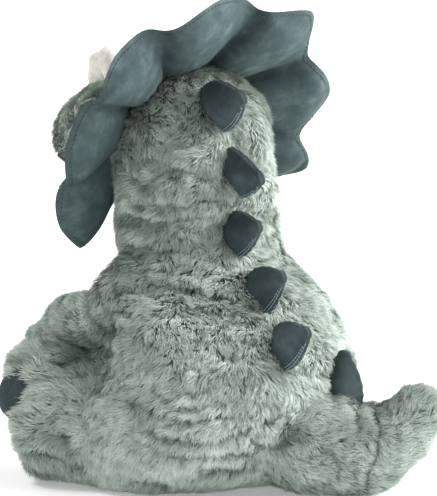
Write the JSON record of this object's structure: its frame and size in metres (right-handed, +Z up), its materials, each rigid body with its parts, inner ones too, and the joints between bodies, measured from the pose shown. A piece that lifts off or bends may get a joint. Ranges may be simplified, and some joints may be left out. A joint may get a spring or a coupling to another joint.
{
  "type": "stuffed dinosaur",
  "caption": "Sitting plush triceratops with a scalloped neck frill, velour horns, claws and back spikes, and floppy sprung head, arms, legs and tail.",
  "frame": {"origin": "centre of the flat seat panel's underside, on the floor that the toy sits on", "axes": "+Z up; -Y the way the toy faces; +X its left side"},
  "size_m": [0.2706, 0.3014, 0.3444],
  "materials": {
    "plush_fur": "long-pile plush, pale sage green",
    "velour": "crushed short-pile velour, grey teal",
    "velour_dark": "short-pile velour, dark grey teal",
    "horn_plush": "short-pile velour, cream",
    "stuffing": "polyester fibre fill",
    "pellet_cloth": "plain woven bag filled with plastic pellets",
    "eye": "glossy black",
    "washer": "natural plastic",
    "stitching": "satin embroidery thread"
  },
  "bodies": {
    "torso": {"torso_skin_left": "plush_fur", "torso_skin_right": "plush_fur", "torso_stuffing": "stuffing", "seat_panel": "plush_fur", "pellet_bag": "pellet_cloth", "spike_3": "velour_dark", "spike_4": "velour_dark", "spike_5": "velour_dark"},
    "neck": {"neck_skin": "plush_fur", "neck_stuffing": "stuffing"},
    "head": {"head_skin_left": "plush_fur", "head_skin_right": "plush_fur", "head_stuffing": "stuffing", "frill_back_layer": "velour", "frill_front_layer": "velour", "frill_wadding": "stuffing", "brow_horn_left": "horn_plush", "brow_horn_right": "horn_plush", "nose_horn": "horn_plush", "eye_left": "eye", "eye_right": "eye", "eye_washer_left": "washer", "eye_washer_right": "washer", "nostril_left": "stitching", "nostril_right": "stitching", "mouth_stitch": "stitching", "spike_1": "velour_dark", "spike_2": "velour_dark"},
    "arm_left": {"arm_left_skin": "plush_fur", "arm_left_stuffing": "stuffing"},
    "arm_right": {"arm_right_skin": "plush_fur", "arm_right_stuffing": "stuffing"},
    "leg_left": {"leg_left_skin": "plush_fur", "leg_left_stuffing": "stuffing", "claw_left_outer": "velour_dark", "claw_left_middle": "velour_dark", "claw_left_inner": "velour_dark"},
    "leg_right": {"leg_right_skin": "plush_fur", "leg_right_stuffing": "stuffing", "claw_right_outer": "velour_dark", "claw_right_middle": "velour_dark", "claw_right_inner": "velour_dark"},
    "tail": {"tail_skin": "plush_fur", "tail_stuffing": "stuffing", "spike_6": "velour_dark"}
  },
  "joints": [
    {"name": "neck_turn", "type": "hinge", "parent": "torso", "child": "neck", "pos_m": [0, -0.018, 0.184], "axis": [0, 0, 1], "range_deg": [-20, 20], "stiffness_Nm_per_rad": 1},
    {"name": "head_nod", "type": "hinge", "parent": "neck", "child": "head", "pos_m": [0, -0.018, 0.184], "axis": [1, 0, 0], "range_deg": [-6, 8], "stiffness_Nm_per_rad": 2},
    {"name": "arm_left_swing", "type": "hinge", "parent": "torso", "child": "arm_left", "pos_m": [0.052, -0.014, 0.144], "axis": [-1, 0, 0], "range_deg": [0, 20], "stiffness_Nm_per_rad": 0.6},
    {"name": "arm_right_swing", "type": "hinge", "parent": "torso", "child": "arm_right", "pos_m": [-0.052, -0.014, 0.144], "axis": [-1, 0, 0], "range_deg": [0, 20], "stiffness_Nm_per_rad": 0.6},
    {"name": "leg_left_splay", "type": "hinge", "parent": "torso", "child": "leg_left", "pos_m": [0.06265, -0.02949, 0.038], "axis": [0, 0, 1], "range_deg": [0, 8], "stiffness_Nm_per_rad": 0.8},
    {"name": "leg_right_splay", "type": "hinge", "parent": "torso", "child": "leg_right", "pos_m": [-0.06265, -0.02949, 0.038], "axis": [0, 0, -1], "range_deg": [0, 8], "stiffness_Nm_per_rad": 0.8},
    {"name": "tail_wag", "type": "hinge", "parent": "torso", "child": "tail", "pos_m": [-0.029, 0.084, 0.038], "axis": [0, 0, 1], "range_deg": [-12, 12], "stiffness_Nm_per_rad": 0.5}
  ]
}
